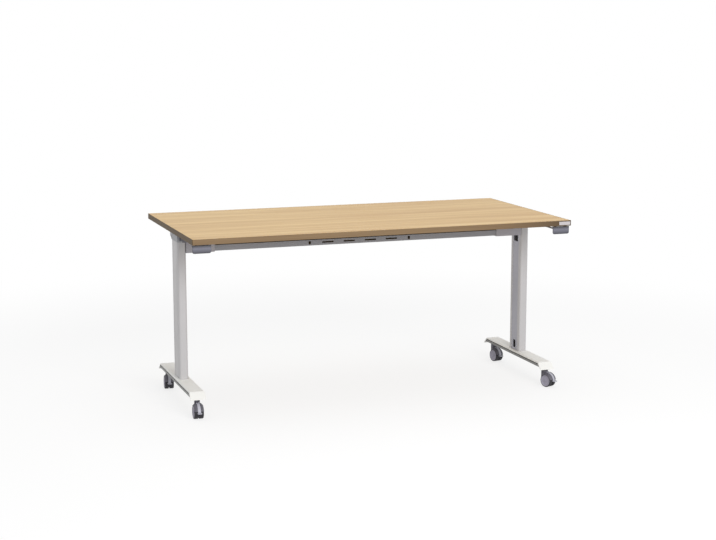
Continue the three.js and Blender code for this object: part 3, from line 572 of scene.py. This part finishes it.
dull_plate = plated_finish("dull_plate", linear(122, 121, 126), linear(98, 97, 103), gloss=0.45)
for leg in SIDES:
    bracket = dressed(f"top_bracket_{leg}", BRACKET_EASE)
    fit(bracket, dull_plate, "top", "plated_steel", f"top_bracket_{leg}")

# Latch bolts, springs and pull rods
# The lever draws the rod and the bolt forward out of the head's window, against a steel spring.
# The spring is wound from wire round the rod, between the bracket's stop and the bolt.

SLIDER_EASE = 0.4 * MM
SPRING_EASE = 0.01 * MM
JOINTS = {joint["name"]: joint for joint in frame["record"]["behaviour"]["joints"]}

for leg in SIDES:
    for part in ("latch_bolt", "pull_rod"):
        slider = dressed(f"{part}_{leg}", SLIDER_EASE)
        fit(slider, dull_plate, f"release_{leg}", "plated_steel", f"{part}_{leg}")
    spring = dressed(f"latch_spring_{leg}", SPRING_EASE, segments=1, sharper_than=80)
    fit(spring, plated, "top", "plated_steel", f"latch_spring_{leg}")
    slide = JOINTS[f"release_{leg}_slide"]
    spring_low, spring_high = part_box(f"latch_spring_{leg}")
    closed = 1 - slide["range_m"][1] / (spring_high.y - spring_low.y)
    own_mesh(spring)

# Release levers
# A paddle moulded in slate plastic hangs under the front edge at each end; painted shade darkens it
# above and below a pale line along its middle.
# It turns on a steel pin in a dark moulded housing, which is screwed to the board.

LEVER_ROLL = 4 * MM
LEVER_EASE = 0.4 * MM
LEVER_PALEST = 0.62
HOUSING_EASE = 0.5 * MM
SHADE_FADE_STRENGTH = 0.92


def moulded(name, colour, grain=1400.0, gloss=0.5, shade_fade=None):
    """Moulded plastic: a fine spark grain, and a slight change of tone and gloss.

    A shade fade gives the heights of a face's bottom, its palest line and its top; painted shade
    darkens the face from that line towards both.
    """
    material, wire, shader = start_finish(name)
    spark = wire.noise(grain)
    clouds = wire.noise(22.0, detail=3.0)
    tone = wire.mix(clouds, colour, deeper(colour, 0.9))
    # Painted shade: the face darkens from its palest line up to its top and down to its bottom.
    if shade_fade:
        bottom, palest, top = shade_fade
        height = wire.axes()[2]
        below = wire.rise(height, palest, bottom)
        above = wire.rise(height, palest, top)
        tone = wire.mix((below + above) * SHADE_FADE_STRENGTH, tone, deeper(colour, 0.16))
    feed(shader, base_color=tone, roughness=gloss + 0.16 * clouds)
    feed(shader, normal=wire.bump(spark, 0.08 * MM, 0.35))
    return material


lever_low, lever_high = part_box("release_lever_left")
palest_line = lever_low.z + (lever_high.z - lever_low.z) * LEVER_PALEST
# The levers' painted shade: darker under the board at the top and towards the bottom edge.
lever_shade_fade = (lever_low.z, palest_line, lever_high.z)
slate = moulded("slate_plastic", linear(126, 126, 139), gloss=0.4, shade_fade=lever_shade_fade)
dark = moulded("dark_plastic", linear(96, 94, 104), gloss=0.4)
for leg in SIDES:
    lever_low, lever_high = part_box(f"release_lever_{leg}")
    lever = node_copy(f"release_lever_{leg}")
    roll_edges(lever, LEVER_ROLL, 5, lambda start, end: (
        max(start.y, end.y) < lever_low.y + NEAR_LINE and min(start.z, end.z) < lever_high.z - MM
    ))
    round_edges(lever, LEVER_EASE)
    fit(lever, slate, f"lever_{leg}", "slate_plastic", f"release_lever_{leg}")
    housing = dressed(f"lever_housing_{leg}", HOUSING_EASE)
    fit(housing, dark, "top", "dark_plastic", f"lever_housing_{leg}")
    lever_pin = dressed(f"lever_pin_{leg}", PIN_EASE)
    fit(lever_pin, plated, "top", "plated_steel", f"lever_pin_{leg}")

# Castors
# Twin moulded wheels with soft rubber treads run on an axle through a moulded hood.
# The hood swivels on a plated stem, which is screwed up into the foot.
# A pale pedal, hinged on the hood and bent over it, brakes the wheels.

CASTORS = [f"{leg}_{end}" for leg in SIDES for end in ("front", "back")]
DISC_SIDES = 72
WHEEL_FACE = 19 * MM
WHEEL_BACK = 2.5 * MM
TYRE_THICK = 3.2 * MM
TYRE_ROUND = 2.9 * MM
TYRE_EASE = 0.6 * MM
HUB_PLAY = 0.1 * MM
HUB_BACK = 1 * MM
HUB_INSET = 0.5 * MM
HUB_RIM = 2.6 * MM
HUB_SLOPE = 2.4 * MM
HUB_DISH = 2.4 * MM
HUB_BORE = 3.4 * MM
HUB_EASE = 0.5 * MM
GUARD_CROWN = 34.5 * MM
GUARD_SHOULDER = 12 * MM
GUARD_ROUND = 2.4 * MM
HOOD_EASE = 0.5 * MM
TOE_REACH = 65 * MM
TOE_ROUND = 3 * MM
TOE_LEAN = 0.05 * MM
PEDAL_EASE = 0.5 * MM
STEM_EASE = 0.4 * MM
tyre_radius = JOINTS["wheel_left_front_left_roll"]["pos_m"][2]
hub_radius = tyre_radius - TYRE_THICK - HUB_PLAY


def start_disc(name, radius, inside, outside):
    """A disc about the X axis between two places, as the start of a turned piece."""
    bpy.ops.object.select_all(action="DESELECT")
    bpy.ops.mesh.primitive_cylinder_add(
        vertices=DISC_SIDES,
        radius=radius,
        depth=outside - inside,
        location=((inside + outside) / 2, 0, 0),
        rotation=(0, math.pi / 2, 0),
    )
    piece = bpy.context.object
    piece.name = name
    bpy.ops.object.transform_apply(location=True, rotation=True, scale=True)
    return piece


def turned_copy(piece, name, turn, place):
    """A copy with its own mesh, turned about the upright and set at its place."""
    copy = bpy.data.objects.new(name, piece.data.copy())
    bpy.context.scene.collection.objects.link(copy)
    copy.rotation_euler = (0, 0, turn)
    copy.location = place
    choose(copy)
    bpy.ops.object.transform_apply(location=True, rotation=True, scale=True)
    return copy


def tread_finish(name):
    """Soft tread rubber: dark, with fine scuffs round it and pale dust in the grain."""
    material, wire, shader = start_finish(name)
    scuffs = wire.noise((90.0, 700.0, 700.0), detail=3.0)
    dust = wire.noise(160.0, detail=4.0)
    colour = wire.mix(dust, linear(40, 39, 44), linear(54, 53, 58))
    feed(shader, base_color=colour, roughness=0.62 + 0.2 * scuffs)
    feed(shader, normal=wire.bump(scuffs, 0.1 * MM, 0.5))
    return material


tread = tread_finish("tread_rubber")
hub_plastic = moulded("hub_plastic", linear(170, 167, 182), grain=1300.0, gloss=0.42)
pedal_plastic = moulded("pedal_plastic", linear(190, 190, 201), grain=1200.0, gloss=0.34)

tyre_model = start_disc("tyre", tyre_radius, WHEEL_BACK, WHEEL_FACE)
pick_faces(tyre_model, lambda face: abs(face.normal.x) > 0.9)
bpy.ops.mesh.inset(thickness=TYRE_THICK)
bpy.ops.mesh.bridge_edge_loops()
close_edit()
pick_edges(tyre_model, lambda start, end: (
    min(start.x, end.x) > WHEEL_FACE - NEAR_LINE
    and min(start.yz.length, end.yz.length) > tyre_radius - NEAR_LINE
))
bpy.ops.mesh.bevel(offset=TYRE_ROUND, segments=5)
close_edit()
round_edges(tyre_model, TYRE_EASE, sharper_than=50)

hub_model = start_disc("hub", hub_radius, WHEEL_BACK + HUB_BACK, WHEEL_FACE - HUB_INSET)
pick_faces(hub_model, lambda face: face.normal.x > 0.9)
bpy.ops.mesh.inset(thickness=HUB_RIM)
bpy.ops.mesh.inset(thickness=HUB_SLOPE)
bpy.ops.transform.translate(value=(-HUB_DISH, 0, 0))
bpy.ops.mesh.inset(thickness=hub_radius - HUB_RIM - HUB_SLOPE - HUB_BORE)
close_edit()
pick_faces(hub_model, lambda face: face.normal.x < -0.9)
bpy.ops.mesh.inset(thickness=hub_radius - HUB_BORE)
close_edit()
pick_faces(hub_model, lambda face: abs(face.normal.x) > 0.9 and len(face.vertices) > 8)
bpy.ops.mesh.bridge_edge_loops()
close_edit()
round_edges(hub_model, HUB_EASE, sharper_than=30)


def is_shoulder(points, axle):
    """Says whether an edge runs round the axle where a guard's crown meets its sloped side."""
    centre = Vector(axle["pos_m"])
    line = Vector(axle["axis"])
    for point in points:
        along = (point - centre).dot(line)
        reach = (point - centre - line * along).length
        if abs(abs(along) - GUARD_SHOULDER) > NEAR_LINE or abs(reach - GUARD_CROWN) > NEAR_WALL:
            return False
    return True


def is_upright(points, swivel, beyond):
    """Says whether an edge stands upright, farther from the swivel than a distance."""
    start, end = points
    leaning = (start.xy - end.xy).length
    return leaning < TOE_LEAN and (start.xy - Vector(swivel["pos_m"]).xy).length > beyond


for at in CASTORS:
    body = f"castor_{at}"
    axle_joint = JOINTS[f"wheel_{at}_left_roll"]
    swivel = JOINTS[f"castor_{at}_swivel"]
    stem = dressed(f"castor_stem_{at}", STEM_EASE)
    fit(stem, plated, "frame", "plated_steel", f"castor_stem_{at}")
    hood = node_copy(f"castor_hood_{at}")
    roll_edges(hood, GUARD_ROUND, 4, lambda *points: is_shoulder(points, axle_joint))
    round_edges(hood, HOOD_EASE)
    fit(hood, dark, body, "dark_plastic", f"castor_hood_{at}")
    axle = dressed(f"castor_axle_{at}", STEM_EASE)
    fit(axle, hub_plastic, body, "wheel_plastic", f"castor_axle_{at}")
    pedal = node_copy(f"brake_pedal_{at}")
    roll_edges(pedal, TOE_ROUND, 4, lambda *points: is_upright(points, swivel, TOE_REACH))
    round_edges(pedal, PEDAL_EASE)
    fit(pedal, pedal_plastic, f"pedal_{at}", "pedal_plastic", f"brake_pedal_{at}")
    for side in SIDES:
        wheel = f"wheel_{at}_{side}"
        roll = JOINTS[f"{wheel}_roll"]
        turn = math.atan2(roll["axis"][1], roll["axis"][0]) + (math.pi if side == "left" else 0)
        tyre = turned_copy(tyre_model, f"tyre_{at}_{side}", turn, roll["pos_m"])
        fit(tyre, tread, wheel, "wheel_plastic", f"castor_{wheel}")
        hub = turned_copy(hub_model, f"hub_{at}_{side}", turn, roll["pos_m"])
        fit(hub, hub_plastic, wheel, "wheel_plastic")
for model in (tyre_model, hub_model):
    bpy.data.objects.remove(model)

# Screws
# Plated pan head screws, each with a rounded head and a round socket.
# They hold the top brackets and the lever housings to the board, and the beam in its ends.

SCREW_SIDES = 20
SCREW_RADIUS = 4.2 * MM
SCREW_TALL = 2.4 * MM
SCREW_ROUND = 1.3 * MM
SCREW_SOCKET = 1.9 * MM
SOCKET_SLOPE = 0.2 * MM
SOCKET_DEEP = 1.5 * MM
BRACKET_PLATE = 3 * MM
BRACKET_SCREWS = [(x * MM, y * MM) for x in (-27, 27) for y in (-120, 84)]
HOUSING_PLATE = 4 * MM
HOUSING_SCREWS = [(x * MM, -342 * MM) for x in (-22, 22)]
GRIP_REACH = 44 * MM
GRIP_SPREAD = 28 * MM

bpy.ops.object.select_all(action="DESELECT")
bpy.ops.mesh.primitive_cylinder_add(
    vertices=SCREW_SIDES, radius=SCREW_RADIUS, depth=SCREW_TALL, location=(0, 0, -SCREW_TALL / 2)
)
screw_model = bpy.context.object
bpy.ops.object.transform_apply(location=True, rotation=True, scale=True)
pick_edges(screw_model, lambda start, end: max(start.z, end.z) < -SCREW_TALL + NEAR_LINE)
bpy.ops.mesh.bevel(offset=SCREW_ROUND, segments=3)
close_edit()
pick_faces(screw_model, lambda face: face.normal.z < -0.99)
bpy.ops.mesh.inset(thickness=SCREW_RADIUS - SCREW_ROUND - SCREW_SOCKET)
bpy.ops.mesh.inset(thickness=SOCKET_SLOPE)
bpy.ops.transform.translate(value=(0, 0, SOCKET_DEEP))
close_edit()
choose(screw_model)
bpy.ops.object.shade_smooth_by_angle(angle=math.radians(35))


def add_screws(node, body, height, places):
    """Screw heads up against a face at a height, placed from the node's middle and along the depth."""
    low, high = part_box(node)
    for number, (x, y) in enumerate(places):
        place = ((low.x + high.x) / 2 + x, y, height)
        screw = turned_copy(screw_model, f"screw_{node}_{number}", 0, place)
        fit(screw, plated, body, "plated_steel")


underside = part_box("tabletop_board")[0].z
for leg in SIDES:
    add_screws(f"top_bracket_{leg}", "top", underside - BRACKET_PLATE, BRACKET_SCREWS)
    add_screws(f"lever_housing_{leg}", "top", underside - HOUSING_PLATE, HOUSING_SCREWS)
    grip_x = GRIP_REACH if leg == "left" else -GRIP_REACH
    grip_screws = [(grip_x, -GRIP_SPREAD), (grip_x, GRIP_SPREAD)]
    add_screws(f"beam_end_{leg}", "frame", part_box(f"beam_end_{leg}")[0].z, grip_screws)
bpy.data.objects.remove(screw_model)

# Studio
# The camera stands at the photograph's place and looks along its line of sight.
# A white floor runs out into a white background, with only a soft shadow near the table.
# One wide lamp hangs overhead and another stands in front.

CAMERA_PLACE = Vector((-2.116, -5.933, 1.585))
CAMERA_AZIMUTH = math.radians(-19.701)
CAMERA_ELEVATION = math.radians(9.743)
SENSOR_WIDE = 36.0
FOCAL_PIXELS = 1514.0
PHOTO_WIDE = 716

back = Vector((
    math.sin(CAMERA_AZIMUTH) * math.cos(CAMERA_ELEVATION),
    -math.cos(CAMERA_AZIMUTH) * math.cos(CAMERA_ELEVATION),
    math.sin(CAMERA_ELEVATION),
))
camera = bpy.data.objects.new("camera", bpy.data.cameras.new("camera"))
camera.data.sensor_width = SENSOR_WIDE
camera.data.lens = FOCAL_PIXELS * SENSOR_WIDE / PHOTO_WIDE
camera.location = CAMERA_PLACE
camera.rotation_euler = (-back).to_track_quat("-Z", "Y").to_euler()
bpy.context.scene.collection.objects.link(camera)
bpy.context.scene.camera = camera

FLOOR_WIDE = 60
SHADOW_REACH = 1.5
FLOOR_REACH = 3.2
FLOOR_TONE = 0.26
FLOOR_GLOW = 0.752
FLOOR_BOUNCE = 0.35
STUDIO_LIGHT = 0.5
PURE_WHITE = (1, 1, 1, 1)


def seen_white(wire, dim):
    """A brightness of 1 for seen, mirrored and seen-through rays, and a dim one for the rest."""
    path = wire.node("ShaderNodeLightPath").socket.node
    kinds = ("Camera", "Glossy", "Transmission")
    seen, mirrored, through = [Wire(wire.tree, path.outputs[f"Is {kind} Ray"]) for kind in kinds]
    return dim + (1 - dim) * (seen + mirrored + through)


def floor_finish(name):
    """A white floor that keeps the soft shadow near the table and runs out into plain white."""
    material, wire, shader = start_finish(name)
    shader.inputs["Base Color"].default_value = (FLOOR_TONE, FLOOR_TONE, FLOOR_TONE, 1)
    shader.inputs["Roughness"].default_value = 0.9
    shader.inputs["Specular IOR Level"].default_value = 0.0
    near_glow = {"Color": PURE_WHITE, "Strength": seen_white(wire, FLOOR_BOUNCE) * FLOOR_GLOW}
    lift = wire.node("ShaderNodeEmission", inputs=near_glow)
    near = wire.node("ShaderNodeAddShader", inputs={0: Wire(wire.tree, shader.outputs[0]), 1: lift})
    far_glow = {"Color": PURE_WHITE, "Strength": seen_white(wire, STUDIO_LIGHT)}
    far = wire.node("ShaderNodeEmission", inputs=far_glow)
    reach = wire.node("ShaderNodeVectorMath", {"operation": "LENGTH"}, {0: wire.place()}, "Value")
    spread = {"Value": reach, "From Min": SHADOW_REACH, "From Max": FLOOR_REACH}
    blend = wire.node("ShaderNodeMapRange", {"interpolation_type": "SMOOTHSTEP"}, spread)
    both = wire.node("ShaderNodeMixShader", inputs={0: blend, 1: near, 2: far})
    wire.tree.links.new(both.socket, wire.tree.nodes["Material Output"].inputs["Surface"])
    return material


bpy.ops.object.select_all(action="DESELECT")
bpy.ops.mesh.primitive_plane_add(size=FLOOR_WIDE)
floor = bpy.context.object
floor.name = "floor"
floor.data.materials.append(floor_finish("floor"))

LAMP_AIM = Vector((0, 0, 0.4))


def soft_light(name, place, size, power):
    """A round soft lamp aimed at the table and unseen by the camera."""
    lamp = bpy.data.lights.new(name, "AREA")
    lamp.shape = "DISK"
    lamp.size = size
    lamp.energy = power
    lamp_object = bpy.data.objects.new(name, lamp)
    lamp_object.location = place
    lamp_object.rotation_euler = (LAMP_AIM - Vector(place)).to_track_quat("-Z", "Y").to_euler()
    lamp_object.visible_camera = False
    bpy.context.scene.collection.objects.link(lamp_object)


soft_light("overhead", place=(0, 0.2, 4.2), size=4.0, power=41)
soft_light("front", place=(0.3, -5.2, 2.7), size=3.2, power=170)

world = bpy.data.worlds.new("studio")
bpy.context.scene.world = world
world.use_nodes = True
background = world.node_tree.nodes["Background"]
background.inputs["Color"].default_value = PURE_WHITE
brightness = seen_white(Wire(world.node_tree), STUDIO_LIGHT)
world.node_tree.links.new(brightness.socket, background.inputs["Strength"])
bpy.context.scene.view_settings.view_transform = "Standard"
